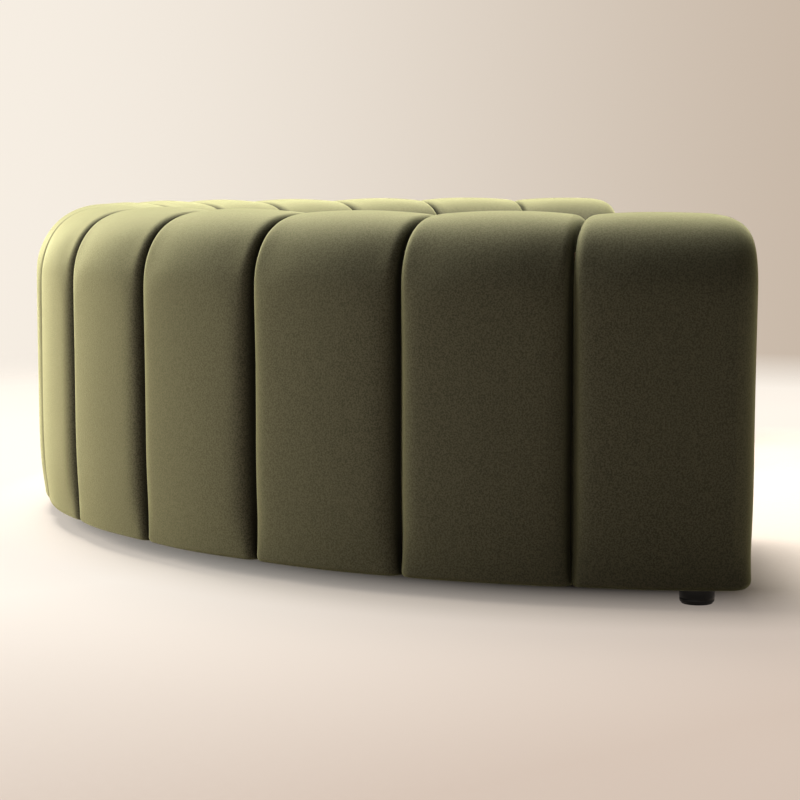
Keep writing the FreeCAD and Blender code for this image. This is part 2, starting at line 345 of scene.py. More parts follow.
def pull_directions(loop, normal, side, board):
    """Which way a seam draws in each point of a section: at the bottom edge mostly level, a little up."""
    low = sizes().foot_height
    before_board = (loop[:, 0] - board) * side
    near_bottom = 1.0 - smooth_step(low + EDGE_ROLL, low + LEVEL_HEIGHT * EDGE_ROLL, loop[:, 1])
    near_bottom *= before_board > 0
    share = np.clip(before_board / BOARD_FADE, 0.0, 1.0)
    level = np.stack([side * share, -BOTTOM_LIFT * share], axis=1)
    return normal * (1.0 - near_bottom)[:, None] + level * near_bottom[:, None]


def tube_faces(rings, size):
    """Quads between each ring of points and the next."""
    return [(ring * size + here, ring * size + (here + 1) % size,
             (ring + 1) * size + (here + 1) % size, (ring + 1) * size + here)
            for ring in range(rings - 1) for here in range(size)]


class Padding:
    """One kind of channel, as rings of points in upright planes through the arc's centre."""

    def __init__(self, loop, count, side, board, seam, end, with_end):
        """seam and end hold how far each draws the cover in, and from how far away."""
        self.loop = loop
        self.count = count
        self.normal = normals_of(loop) * side
        self.pull = pull_directions(loop, self.normal, side, board)
        self.seam_drop, self.seam_reach = seam
        downward = np.clip(-self.normal[:, 1], 0.0, 1.0)
        behind_board = (loop[:, 0] - board) * side <= 0
        self.end_drop = end[0] * (1.0 - downward ** 2 * behind_board)
        self.end_reach = end[1]
        self.with_end = with_end
        self.points = np.array([self.ring(place) for place in seam_places(with_end)])

    def in_end_wall(self, place):
        wall = -1.0 + END_WALL[0] / (sizes().outer_radius * HALF_ANGLE)
        return self.with_end and place <= wall + TINY

    def section(self, place):
        """Outline of the padding at this place between its seams."""
        loop = self.loop
        from_seam = loop[:, 0] * math.sin(HALF_ANGLE * (1.0 - abs(place)))
        if self.with_end and place < 0:
            drop = self.end_drop * rounding(1.0 - from_seam / self.end_reach, END_POWER)
        else:
            drop = self.seam_drop * rounding(1.0 - from_seam / self.seam_reach, SEAM_POWER)
            drop += FACE_CROWN * place ** 2
        small = START_SMALL * np.clip(1.0 + self.normal[:, 1], 0.0, 1.0)
        small[self.count:] = 0.0
        return loop - self.pull * drop[:, None] - self.normal * small[:, None]

    def ring(self, place):
        """The jacket's skin and its inside at this place, or the whole section in a free end's wall."""
        count = self.count
        turn = place * (HALF_ANGLE - SEAM_GAP / sizes().outer_radius)
        skin = self.section(place)
        if not self.in_end_wall(place):
            inner = skin[:count] - self.normal[:count] * sizes().jacket_thickness
            skin = np.vstack([skin[:count], inner[::-1]])
        level = skin[:, 0]
        across = level * math.sin(turn)
        if self.with_end:
            across -= (END_PROUD - end_tuck(skin[:, 1])) * max(-place, 0.0) ** END_FADE_POWER
        return np.stack([across, level * math.cos(turn), skin[:, 1]], axis=1)

    def mesh_parts(self):
        """Points, faces and the points that stay put while the filling swells."""
        rings, size = self.points.shape[0], self.points.shape[1]
        points = [tuple(point) for point in self.points.reshape(-1, 3)]
        faces = tube_faces(rings, size)
        faces += [face[::-1] for face in self.seam_cap((rings - 1) * size, size)]
        if self.with_end:
            self.fill_end(points, faces, size)
        else:
            faces += self.seam_cap(0, size)
        pinned = self.pinned_points(size, rings) + list(range(rings * size, len(points)))
        return points, faces, pinned

    def seam_cap(self, first, size):
        """The thin wall of the jacket along a seam."""
        return [(first + here, first + here + 1, first + size - 2 - here, first + size - 1 - here)
                for here in range(self.count - 1)]

    def fill_end(self, points, faces, size):
        """The flat wall of a free end, as rings that close on its middle."""
        rim = np.array(points[:size])
        middle = rim.mean(axis=0)
        slope = math.tan(HALF_ANGLE - SEAM_GAP / sizes().outer_radius)
        outer = list(range(size))
        for step in range(1, END_RINGS):
            ring = rim + (middle - rim) * step / END_RINGS
            bulge = END_BULGE * math.sin(math.pi / 2 * step / END_RINGS)
            ring[:, 0] = -ring[:, 1] * slope - END_PROUD - bulge + end_tuck(ring[:, 2])
            inner = list(range(len(points), len(points) + size))
            points += [tuple(point) for point in ring]
            for here in range(size):
                there = (here + 1) % size
                faces.append((outer[there], outer[here], inner[here], inner[there]))
            outer = inner
        points.append((-middle[1] * slope - END_PROUD - END_BULGE, middle[1], middle[2]))
        for here in range(size):
            faces.append((outer[(here + 1) % size], outer[here], len(points) - 1))

    def pinned_points(self, size, rings):
        """Seams, the inside of the jacket and its bottom rim are held by the frame."""
        held = []
        for ring in range(rings):
            at_seam = ring >= rings - 1 or (ring == 0 and not self.with_end)
            for here in range(size):
                if at_seam or here >= self.count - 1 or here < HELD_AT_START:
                    held.append(ring * size + here)
        return held


# The stuffing: steps of its simulation, the cloth's weight and stiffness, and its push
CLOTH_FRAMES = 20
CLOTH_QUALITY = 6
CLOTH_MASS = 0.4
CLOTH_STIFFNESS = 12.0
CLOTH_BENDING = 2.0
FILLING_PRESSURE = 4.0
EVENING_ROUNDS = 5
FIRM_EDGE = 0.09

# Unevenness left by hand, the same on every run and different on each channel
WORK_SEED = 7
WORK_SCALE = 4.5
WORK_DEPTH = 0.0016
WORK_SHIFT = (7.3, 3.1)
WORK_FADE_POWER = 4


def swollen(points, faces, pinned, swell):
    """The padding after its filling has pushed the cover out, held at its seams."""
    mesh = bpy.data.meshes.new("filling")
    mesh.from_pydata(points, [], faces)
    pad = bpy.data.objects.new("filling", mesh)
    bpy.context.scene.collection.objects.link(pad)
    held = pad.vertex_groups.new(name="held")
    held.add(pinned, 1.0, "REPLACE")
    cloth = pad.modifiers.new("Cloth", "CLOTH")
    cloth.settings.quality = CLOTH_QUALITY
    cloth.settings.mass = CLOTH_MASS
    cloth.settings.tension_stiffness = CLOTH_STIFFNESS
    cloth.settings.compression_stiffness = CLOTH_STIFFNESS
    cloth.settings.bending_stiffness = CLOTH_BENDING
    cloth.settings.vertex_group_mass = "held"
    cloth.settings.use_pressure = True
    cloth.settings.uniform_pressure_force = FILLING_PRESSURE
    cloth.settings.effector_weights.gravity = 0.0
    cloth.point_cache.frame_start = 1
    cloth.point_cache.frame_end = CLOTH_FRAMES
    scene = bpy.context.scene
    for step in range(1, CLOTH_FRAMES + 1):
        scene.frame_set(step)
    shaped = pad.evaluated_get(bpy.context.evaluated_depsgraph_get())
    moved = np.array([vertex.co for vertex in shaped.data.vertices])
    scene.frame_set(1)
    bpy.data.objects.remove(pad)
    bpy.data.meshes.remove(mesh)
    rest = np.array(points)
    shift = evened(moved - rest, faces, pinned)
    length = np.linalg.norm(shift, axis=1, keepdims=True)
    low = sizes().foot_height
    most = swell * smooth_step(low, low + FIRM_EDGE, rest[:, 2:3])
    return rest + shift * np.minimum(1.0, most / np.maximum(length, TINY))


def evened(shift, faces, pinned):
    """Movement shared with the neighbours, so that the stuffed cover keeps no pinched folds."""
    pairs = {tuple(sorted(pair)) for face in faces for pair in zip(face, face[1:] + face[:1])}
    edges = np.array(sorted(pairs))
    count = np.bincount(edges.ravel(), minlength=len(shift))[:, None]
    for _ in range(EVENING_ROUNDS):
        total = np.zeros_like(shift)
        np.add.at(total, edges[:, 0], shift[edges[:, 1]])
        np.add.at(total, edges[:, 1], shift[edges[:, 0]])
        shift = total / np.maximum(count, 1)
        shift[pinned] = 0.0
    return shift


def kept_between_seams(points, with_end):
    """Points pushed past a seam go back to it, so that channels never run into each other."""
    limit = points[:, 1] * math.tan(HALF_ANGLE) - SEAM_GAP / 2
    low = points[:, 0] if with_end else np.maximum(points[:, 0], -limit)
    points[:, 0] = np.minimum(low, limit)
    return points


def hand_worked(points, channel):
    """Small unevenness, such as every stuffed channel has, that fades out at the seams."""
    noise.seed_set(WORK_SEED)
    turn = np.arctan2(points[:, 0], points[:, 1]) / HALF_ANGLE
    fade = np.clip(1.0 - np.abs(turn) ** WORK_FADE_POWER, 0.0, 1.0)
    worked = points.copy()
    for index, point in enumerate(points):
        place = Vector(point) * WORK_SCALE + Vector((channel * WORK_SHIFT[0], channel * WORK_SHIFT[1], 0.0))
        shift = noise.noise_vector(place) * WORK_DEPTH
        worked[index] += np.array(shift) * fade[index]
    return worked


def in_row(points, channel, mirrored):
    """Channel points turned to their place on the half circle."""
    turn = math.pi / 2 - HALF_ANGLE * (2 * channel - 1)
    across = -points[:, 0] if mirrored else points[:, 0]
    along = points[:, 1]
    x = across * math.cos(turn) - along * math.sin(turn)
    y = across * math.sin(turn) + along * math.cos(turn) + ARC_CENTRE_Y
    return np.stack([x, y, points[:, 2]], axis=1)


def link_piece(name, points, faces, materials):
    """A smooth piece in the scene, made of these points and faces."""
    mesh = bpy.data.meshes.new(name)
    mesh.from_pydata([tuple(point) for point in points], [], [tuple(face) for face in faces])
    for material in materials:
        mesh.materials.append(material)
    mesh.shade_smooth()
    piece = bpy.data.objects.new(name, mesh)
    bpy.context.scene.collection.objects.link(piece)
    return piece


def make_channels(part, make_kind):
    """Every channel of the back or of the seat, from one inner kind and one end kind."""
    kinds = {}
    for with_end in (False, True):
        points, faces, pinned = make_kind(with_end).mesh_parts()
        shaped = swollen(points, faces, pinned, sizes().swell)
        kinds[with_end] = kept_between_seams(shaped, with_end), faces
    velvet = velvet_finish()
    for channel in range(1, CHANNEL_COUNT + 1):
        points, faces = kinds[channel in (1, CHANNEL_COUNT)]
        mirrored = channel == CHANNEL_COUNT
        placed = in_row(hand_worked(points, channel), channel, mirrored)
        turned = [face[::-1] for face in faces] if mirrored else faces
        piece = link_piece("%s_cover_%02d" % (part, channel), placed, turned, [velvet])
        rounder = piece.modifiers.new("Rounder", "SUBSURF")
        rounder.levels = 1
        rounder.render_levels = 1
        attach(piece, "root")
        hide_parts("%s_channel_%02d" % (part, channel))


# Foam: places of its sections across a channel, the share of them that it keeps towards a free end,
# the points of the cover that it follows, and its distance from the cover
FOAM_PLACES = (-0.96, -0.8, -0.5, 0.0, 0.5, 0.8, 0.96)
FOAM_END_SHARE = 0.66
FOAM_FIRST = 5
FOAM_STEP = 2
FOAM_CLEARANCE = 0.0015


def foam_core(part, make_kind, cavity):
    """One foam core for each channel, between the cover and the frame, as a single piece."""
    points = []
    faces = []
    kinds = {with_end: foam_shape(make_kind(with_end), cavity) for with_end in (False, True)}
    for channel in range(1, CHANNEL_COUNT + 1):
        core, core_faces = kinds[channel in (1, CHANNEL_COUNT)]
        mirrored = channel == CHANNEL_COUNT
        placed = in_row(core, channel, mirrored)
        faces += [tuple(corner + len(points) for corner in (face[::-1] if mirrored else face))
                  for face in core_faces]
        points += [tuple(point) for point in placed]
    piece = link_piece(part + "_foam_core", points, faces, [foam_finish()])
    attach(piece, "root")
    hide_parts(part + "_foam")


def foam_shape(padding, cavity):
    """Rings inside the jacket, closed over the frame by the nearest points of its cavity."""
    least, most, top = cavity
    rings = []
    for place in FOAM_PLACES:
        if padding.with_end and place < 0:
            place *= FOAM_END_SHARE
        turn = place * HALF_ANGLE
        skin = padding.section(place)[:padding.count][FOAM_FIRST:-1:FOAM_STEP]
        normal = padding.normal[:padding.count][FOAM_FIRST:-1:FOAM_STEP]
        outer = skin - normal * (sizes().jacket_thickness + FOAM_CLEARANCE)
        inner = np.stack([np.clip(outer[:, 0], least, most), np.minimum(outer[:, 1], top)], axis=1)
        ring = np.vstack([outer, inner[::-1]])
        level = ring[:, 0]
        rings.append(np.stack([level * math.sin(turn), level * math.cos(turn), ring[:, 1]], axis=1))
    size = len(rings[0])
    faces = tube_faces(len(rings), size)
    last = (len(rings) - 1) * size
    for here in range(size // 2 - 1):
        far = size - 1 - here
        faces.append((last + here, last + here + 1, last + far - 1, last + far))
        faces.append((far, far - 1, here + 1, here))
    return np.vstack(rings), faces


# Free ends of the back: how far the cover is drawn in and from how far away, what the crest adds,
# what goes off beside the seat, and the share that goes off near the bottom edge
BACK_END_DROP, CREST_DROP, BESIDE_SEAT_DROP, BACK_LOW_DROP = 0.046, 0.008, 0.038, 0.1
BACK_END_REACH, CREST_REACH, BESIDE_SEAT_REACH, BACK_LOW_REACH = 0.050, 0.034, 0.036, 0.3
BELOW_SEAT_TOP = 0.03
ABOVE_SEAT_TOP = 0.11

# Free ends of the seat: the same, with what goes off close to the back
SEAT_END_DROP, AT_BACK_DROP, SEAT_LOW_DROP = 0.042, 0.034, 0.1
SEAT_END_REACH, AT_BACK_REACH, SEAT_LOW_REACH = 0.062, 0.046, 0.2
AT_BACK_END = 0.03
AT_BACK_SEAM = 0.02
AT_BACK_FULL = 0.004
AT_BACK_GROOVE = 0.5

LOW_HEIGHT = 0.05


def near_bottom_share(height):
    """1 at the bottom edge and 0 a little above it."""
    return 1.0 - smooth_step(sizes().foot_height, sizes().foot_height + LOW_HEIGHT, height)


def back_kind(with_end):
    """The padding of a back channel."""
    size = sizes()
    shown, hidden = back_outline()
    loop = np.array(shown + hidden)
    radius, height = loop[:, 0], loop[:, 1]
    crest = smooth_step(size.overall_height - BACK_CORNER[1], size.overall_height, height)
    above_seat = smooth_step(size.seat_height - BELOW_SEAT_TOP, size.seat_height + ABOVE_SEAT_TOP, height)
    beside_seat = (1.0 - above_seat) * (radius < size.outer_radius - size.back_thickness / 2)
    low = near_bottom_share(height)
    drop = BACK_END_DROP + CREST_DROP * crest - BESIDE_SEAT_DROP * beside_seat
    reach = BACK_END_REACH + CREST_REACH * crest - BESIDE_SEAT_REACH * beside_seat
    seam = np.full(len(loop), size.back_groove_depth), BACK_SEAM_REACH
    end = drop * (1.0 - BACK_LOW_DROP * low), reach * (1.0 - BACK_LOW_REACH * low)
    return Padding(loop, len(shown), 1, BOARD_OUTSIDE, seam, end, with_end)


def seat_kind(with_end):
    """The padding of a seat channel."""
    size = sizes()
    shown, hidden = seat_outline()
    loop = np.array(shown + hidden)
    radius, height = loop[:, 0], loop[:, 1]
    back = size.outer_radius - size.back_thickness
    seam_at_back = smooth_step(back - AT_BACK_SEAM, back - AT_BACK_FULL, radius)
    at_back = smooth_step(back - AT_BACK_END, back - AT_BACK_FULL, radius)
    low = near_bottom_share(height)
    seam = size.seat_groove_depth * (1.0 - AT_BACK_GROOVE * seam_at_back), SEAT_SEAM_REACH
    end = ((SEAT_END_DROP - AT_BACK_DROP * at_back) * (1.0 - SEAT_LOW_DROP * low),
           (SEAT_END_REACH - AT_BACK_REACH * at_back) * (1.0 - SEAT_LOW_REACH * low))
    return Padding(loop, len(shown), -1, FRONT_BOARD_FACE, seam, end, with_end)


class Nodes:
    """Short calls for building a tree of shading nodes."""

    def __init__(self, tree, coordinates):
        self.tree = tree
        self.place = self.add("ShaderNodeTexCoord").outputs[coordinates]

    def add(self, kind, **settings):
        made = self.tree.nodes.new(kind)
        for key, value in settings.items():
            setattr(made, key, value)
        return made

    def wire(self, value, socket):
        if isinstance(value, bpy.types.NodeSocket):
            self.tree.links.new(value, socket)
        else:
            socket.default_value = value

    def maths(self, operation, first, second):
        made = self.add("ShaderNodeMath", operation=operation)
        self.wire(first, made.inputs[0])
        self.wire(second, made.inputs[1])
        return made.outputs[0]

    def measure(self, operation, first, second=(0.0, 0.0, 0.0)):
        made = self.add("ShaderNodeVectorMath", operation=operation)
        self.wire(first, made.inputs[0])
        made.inputs[1].default_value = second
        return made.outputs["Value"]

    def blend(self, share, first, second):
        made = self.add("ShaderNodeMix", data_type="RGBA")
        self.wire(share, made.inputs["Factor"])
        self.wire(with_alpha(first), made.inputs["A"])
        self.wire(with_alpha(second), made.inputs["B"])
        return made.outputs["Result"]

    def either(self, share, first, second):
        made = self.add("ShaderNodeMixShader")
        for socket, given in zip(made.inputs, (share, first, second)):
            self.wire(given, socket)
        return made.outputs[0]

    def spread(self, value, low, high, new_low=0.0, new_high=1.0, smooth=False):
        made = self.add("ShaderNodeMapRange", interpolation_type="SMOOTHSTEP" if smooth else "LINEAR")
        for socket, given in zip(made.inputs, (value, low, high, new_low, new_high)):
            self.wire(given, socket)
        return made.outputs["Result"]

    def seen(self):
        """1 for what the camera sees, straight on, in a gloss or through something clear."""
        rays = self.add("ShaderNodeLightPath")
        shown = self.maths("MAXIMUM", rays.outputs["Is Camera Ray"], rays.outputs["Is Glossy Ray"])
        return self.maths("MAXIMUM", shown, rays.outputs["Is Transmission Ray"])


class Finish(Nodes):
    """A material with short calls for its textures."""

    def __init__(self, name):
        self.material = bpy.data.materials.new(name)
        self.material.use_nodes = True
        super().__init__(self.material.node_tree, "Object")
        self.shader = self.tree.nodes["Principled BSDF"]

    def stretched(self, scale):
        mapping = self.add("ShaderNodeMapping")
        mapping.inputs["Scale"].default_value = scale
        self.wire(self.place, mapping.inputs["Vector"])
        return mapping.outputs["Vector"]

    def noise(self, scale, detail=2.0, rough=0.5, place=None):
        made = self.add("ShaderNodeTexNoise")
        self.wire(place or self.place, made.inputs["Vector"])
        made.inputs["Scale"].default_value = scale
        made.inputs["Detail"].default_value = detail
        made.inputs["Roughness"].default_value = rough
        return made.outputs["Fac"]

    def cells(self, scale):
        made = self.add("ShaderNodeTexVoronoi")
        self.wire(self.place, made.inputs["Vector"])
        made.inputs["Scale"].default_value = scale
        return made.outputs["Distance"]

    def waves(self, scale, direction, distortion):
        made = self.add("ShaderNodeTexWave", bands_direction=direction)
        self.wire(self.place, made.inputs["Vector"])
        made.inputs["Scale"].default_value = scale
        made.inputs["Distortion"].default_value = distortion
        return made.outputs["Fac"]

    def bump(self, height, strength, distance, under=None):
        made = self.add("ShaderNodeBump")
        made.inputs["Strength"].default_value = strength
        made.inputs["Distance"].default_value = distance
        self.wire(height, made.inputs["Height"])
        if under is not None:
            self.wire(under, made.inputs["Normal"])
        return made.outputs["Normal"]

    def surface(self, colour, rough, normal, **sockets):
        self.wire(colour, self.shader.inputs["Base Color"])
        self.wire(rough, self.shader.inputs["Roughness"])
        self.wire(normal, self.shader.inputs["Normal"])
        for name, value in sockets.items():
            self.shader.inputs[name.replace("_", " ")].default_value = value
        return self.material


def with_alpha(colour):
    """A node's output as it is, or a plain colour with its fourth value."""
    return colour if isinstance(colour, bpy.types.NodeSocket) else (*colour, 1.0)


def shade(colour, factor):
    """A colour made darker or lighter."""
    return tuple(min(1.0, part * factor) for part in colour)


# Velvet: fineness of its pile, grain, ribs, nap and patches
PILE = 900.0
GRAIN = 330.0
RIBS = 260.0
NAP = 5.0
PATCHES = 28.0

# Painted sheen on the velvet, lighter where the surface is seen edge-on: where it starts, its power and its
# share
PAINTED_SHEEN_START = 0.04
PAINTED_SHEEN_POWER = 1.3
PAINTED_SHEEN_SHARE = 0.46

# Painted shade in the sewn grooves: samples and reach of the occlusion test that places it, how closed a
# groove is at the ends of the painted shade, and how dark it is painted
GROOVE_SAMPLES = 8
GROOVE_WIDTH = 0.05
GROOVE_CLOSED = 0.45
GROOVE_OPEN = 0.95
GROOVE_PAINTED_SHADE = 0.25

# Colours under the covers
BIRCH_PALE = (0.62, 0.45, 0.27)
BIRCH_WARM = (0.74, 0.58, 0.38)
PLY_LINE = (0.40, 0.26, 0.14)
HARDBOARD_DARK = (0.16, 0.09, 0.045)
HARDBOARD_BROWN = (0.30, 0.18, 0.09)
HARDBOARD_CLOUD = (0.34, 0.22, 0.12)
JUTE_PALE = (0.50, 0.40, 0.26)
JUTE_DARK = (0.16, 0.11, 0.06)
LINEN_PALE = (0.46, 0.44, 0.40)
LINEN_DARK = (0.24, 0.22, 0.19)
FOAM_CELL = (0.50, 0.42, 0.24)
FOAM_CREAM = (0.80, 0.71, 0.46)
FOAM_AGED = (0.76, 0.62, 0.34)
DUST_BLACK = (0.008, 0.008, 0.009)
DUST_GREY = (0.035, 0.035, 0.038)
ZINC_DARK = (0.50, 0.52, 0.54)
ZINC_BRIGHT = (0.72, 0.73, 0.74)
WEBBING_THREADS = 160.0
DECK_THREADS = 320.0


def velvet_finish():
    """Short-pile velvet: dark seen into the pile, with painted sheen where the surface is seen edge-on and
    painted shade in the sewn grooves.
    """
    finishes = bpy.context.scene.sofa_finishes
    velvet = finishes.velvet
    look = Finish("Velvet")
    pile = look.noise(PILE, 3.0, 0.7)
    grain = look.noise(GRAIN, 2.0, 0.6)
    ribs = look.noise(RIBS, 2.0, 0.6, look.stretched((1.0, 1.0, 0.35)))
    nap = look.noise(NAP, 3.0, 0.55, look.stretched((1.0, 1.0, 0.5)))
    patches = look.noise(PATCHES)
    colour = look.blend(look.spread(nap, 0.3, 0.7), shade(velvet, 0.90), shade(velvet, 1.10))
    colour = look.blend(look.spread(patches, 0.35, 0.65, 0.0, 0.35), colour, shade(velvet, 1.16))
    colour = look.blend(look.spread(pile, 0.35, 0.75, 0.0, 0.55), colour, shade(velvet, 0.62))
    colour = look.blend(look.spread(grain, 0.42, 0.60, 0.0, 0.90), shade(velvet, 1.75), colour)
    # Painted sheen: the colour is lightened towards the sheen colour where the surface is seen edge-on
    along = look.add("ShaderNodeLayerWeight")
    along.inputs["Blend"].default_value = 0.5
    painted_sheen = look.maths("POWER", look.spread(along.outputs["Facing"], PAINTED_SHEEN_START, 1.0), PAINTED_SHEEN_POWER)
    colour = look.blend(look.maths("MULTIPLY", painted_sheen, PAINTED_SHEEN_SHARE), colour, finishes.velvet_painted_sheen)
    # Painted shade: the colour darkens in the sewn grooves where an occlusion test finds them closed in
    painted_groove_shade = look.add("ShaderNodeAmbientOcclusion", samples=GROOVE_SAMPLES)
    painted_groove_shade.inputs["Distance"].default_value = GROOVE_WIDTH
    open_share = look.spread(painted_groove_shade.outputs["AO"], GROOVE_CLOSED, GROOVE_OPEN)
    colour = look.blend(open_share, shade(velvet, GROOVE_PAINTED_SHADE), colour)
    under = look.bump(ribs, 0.25, 0.0012)
    normal = look.bump(pile, 0.35, 0.0006, look.bump(grain, 0.45, 0.0012, under))
    return look.surface(colour, look.spread(pile, 0.3, 0.7, 0.82, 0.97), normal,
                        Sheen_Weight=0.6, Sheen_Roughness=0.34,
                        Sheen_Tint=(*finishes.velvet_sheen, 1.0), Specular_IOR_Level=0.06)


def foot_finish():
    """Black moulded plastic with a satin surface and faint scuffs."""
    foot = bpy.context.scene.sofa_finishes.foot
    look = Finish("Foot plastic")
    grain = look.noise(1400.0)
    scuffs = look.noise(90.0, 4.0, 0.7)
    colour = look.blend(look.spread(scuffs, 0.55, 0.75, 0.0, 0.5), foot, shade(foot, 2.2))
    return look.surface(colour, look.spread(scuffs, 0.3, 0.7, 0.30, 0.46), look.bump(grain, 0.15, 0.0002),
                        Specular_IOR_Level=0.3)


def felt_finish():
    """Pressed felt of the glides."""
    felt = bpy.context.scene.sofa_finishes.felt
    look = Finish("Felt")
    fibres = look.noise(700.0, 4.0, 0.8)
    colour = look.blend(fibres, shade(felt, 0.6), shade(felt, 1.8))
    return look.surface(colour, 0.98, look.bump(fibres, 0.6, 0.0006), Sheen_Weight=0.3, Sheen_Roughness=0.6)


def plywood_finish():
    """Birch plywood: grain on the faces and stacked plies on the edges."""
    look = Finish("Birch plywood")
    grain = look.noise(9.0, 5.0, 0.65, look.stretched((1.0, 1.0, 14.0)))
    plies = look.waves(120.0, "Z", 0.6)
    colour = look.blend(look.spread(grain, 0.3, 0.7), BIRCH_PALE, BIRCH_WARM)
    colour = look.blend(look.spread(plies, 0.55, 0.9, 0.0, 0.35), colour, PLY_LINE)
    return look.surface(colour, look.spread(grain, 0.2, 0.8, 0.55, 0.7), look.bump(grain, 0.2, 0.0004))


def hardboard_finish():
    """Brown pressed board with short dark fibres."""
    look = Finish("Hardboard")
    fibres = look.noise(420.0, 4.0, 0.75)
    clouds = look.noise(12.0)
    colour = look.blend(fibres, HARDBOARD_DARK, HARDBOARD_BROWN)
    colour = look.blend(look.spread(clouds, 0.3, 0.7, 0.0, 0.3), colour, HARDBOARD_CLOUD)
    return look.surface(colour, 0.62, look.bump(fibres, 0.3, 0.0003))


def woven_finish(name, light, dark, threads):
    """A plain weave of crossing threads."""
    look = Finish(name)
    warp = look.waves(threads, "X", 0.4)
    weft = look.waves(threads, "Y", 0.4)
    weave = look.maths("MULTIPLY", warp, weft)
    fuzz = look.noise(threads * 3.0, 3.0, 0.7)
    colour = look.blend(weave, dark, light)
    colour = look.blend(look.spread(fuzz, 0.4, 0.7, 0.0, 0.3), colour, dark)
    return look.surface(colour, 0.85, look.bump(weave, 0.5, 0.0006), Sheen_Weight=0.2)


def foam_finish():
    """Cream seating foam with open cells."""
    look = Finish("Foam")
    cells = look.cells(420.0)
    stain = look.noise(6.0)
    colour = look.blend(look.spread(cells, 0.0, 0.6), FOAM_CELL, FOAM_CREAM)
    colour = look.blend(look.spread(stain, 0.4, 0.7, 0.0, 0.4), colour, FOAM_AGED)
    return look.surface(colour, 0.95, look.bump(cells, 0.7, 0.0012))


def dust_cloth_finish():
    """Black bonded cloth with crossed fibres and a dotted press mark."""
    look = Finish("Dust cloth")
    fibres = look.noise(500.0, 5.0, 0.85)
    dots = look.cells(260.0)
    colour = look.blend(fibres, DUST_BLACK, DUST_GREY)
    height = look.maths("ADD", fibres, look.spread(dots, 0.0, 0.3, -0.6, 0.0))
    return look.surface(colour, 0.9, look.bump(height, 0.5, 0.0005), Sheen_Weight=0.15)


def steel_finish():
    """Zinc-plated steel of the studs."""
    look = Finish("Zinc steel")
    crystals = look.cells(900.0)
    turning = look.waves(900.0, "Z", 0.2)
    colour = look.blend(crystals, ZINC_DARK, ZINC_BRIGHT)
    return look.surface(colour, look.spread(crystals, 0.0, 1.0, 0.25, 0.42), look.bump(turning, 0.6, 0.0004),
                        Metallic=1.0)


def dress(material, *names):
    """Give carried-over frame pieces their finish."""
    for name in names:
        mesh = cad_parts[name].data
        mesh.materials.clear()
        mesh.materials.append(material)


class SOFA_OT_back_covers(bpy.types.Operator):
    """Cover and stuff each channel of the back"""
    bl_idname = "sofa.back_covers"
    bl_label = "Back Channels"

    def execute(self, context):
        make_channels("back", back_kind)
        foam_core("back", back_kind, (INSIDE_BOARD, BOARD_OUTSIDE, FRAME_TOP))
        return {"FINISHED"}


class SOFA_OT_seat_covers(bpy.types.Operator):
    """Cover and stuff each channel of the seat"""
    bl_idname = "sofa.seat_covers"
    bl_label = "Seat Channels"

    def execute(self, context):
        make_channels("seat", seat_kind)
        foam_core("seat", seat_kind, (FRONT_BOARD_FACE, CAD_HIGH.x, DECK_TOP))
        return {"FINISHED"}


# A foot as (radius, height): its felt glide, then the moulding with a groove round it
FOOT_PROFILE = (
    (0.0, 0.0), (0.0275, 0.0), (0.0285, 0.0006), (0.0288, 0.0020), (0.0288, 0.0030),
    (0.0300, 0.0030), (0.0311, 0.0036), (0.0317, 0.0050), (0.0320, 0.0070), (0.0322, 0.0100),
    (0.0316, 0.0106), (0.0316, 0.0118), (0.0323, 0.0124), (0.0330, 0.0260), (0.0333, 0.0400),
    (0.0330, 0.0430), (0.0320, 0.0440), (0.0, 0.0440))
FELT_RINGS = 4
FOOT_TURNS = 48
FOOT_ROOM = 0.08
SHARP_EDGE = math.radians(50)


def foot_centres():
    """The middle of each foot, from the frame."""
    found = []
    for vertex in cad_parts["feet"].data.vertices:
        place = Vector(vertex.co[:2])
        group = next((near for near in found if (near[0] - place).length < FOOT_ROOM), None)
        if group is None:
            found.append([place])
        else:
            group.append(place)
    centres = []
    for group in found:
        across = [place.x for place in group]
        along = [place.y for place in group]
        centres.append(((min(across) + max(across)) / 2, (min(along) + max(along)) / 2))
    return sorted(centres)


def lathe(profile, turns, centre):
    """Points and faces of a profile turned round an upright line."""
    points = []
    starts = []
    for radius, height in profile:
        count = 1 if radius == 0.0 else turns
        starts.append((len(points), count))
        for turn in range(count):
            angle = 2 * math.pi * turn / turns
            points.append((centre[0] + radius * math.cos(angle), centre[1] + radius * math.sin(angle),
                           height))
    faces = []
    for (low, low_size), (high, high_size) in zip(starts, starts[1:]):
        for turn in range(turns):
            after = (turn + 1) % turns
            if low_size == 1:
                faces.append((low, high + after, high + turn))
            elif high_size == 1:
                faces.append((low + turn, low + after, high))
            else:
                faces.append((low + turn, low + after, high + after, high + turn))
    return points, faces


class SOFA_OT_feet(bpy.types.Operator):
    """Turn the round feet with their felt glides"""
    bl_idname = "sofa.feet"
    bl_label = "Feet"

    def execute(self, context):
        points = []
        faces = []
        felt = []
        felt_faces = FOOT_TURNS * (FELT_RINGS + 1)
        for centre in foot_centres():
            new_points, new_faces = lathe(FOOT_PROFILE, FOOT_TURNS, centre)
            faces += [tuple(corner + len(points) for corner in face) for face in new_faces]
            felt += [index < felt_faces for index in range(len(new_faces))]
            points += new_points
        piece = link_piece("round_feet", points, faces, [foot_finish(), felt_finish()])
        for polygon, is_felt in zip(piece.data.polygons, felt):
            polygon.material_index = int(is_felt)
        edges = piece.modifiers.new("Edges", "EDGE_SPLIT")
        edges.split_angle = SHARP_EDGE
        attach(piece, "root")
        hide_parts("feet")
        return {"FINISHED"}


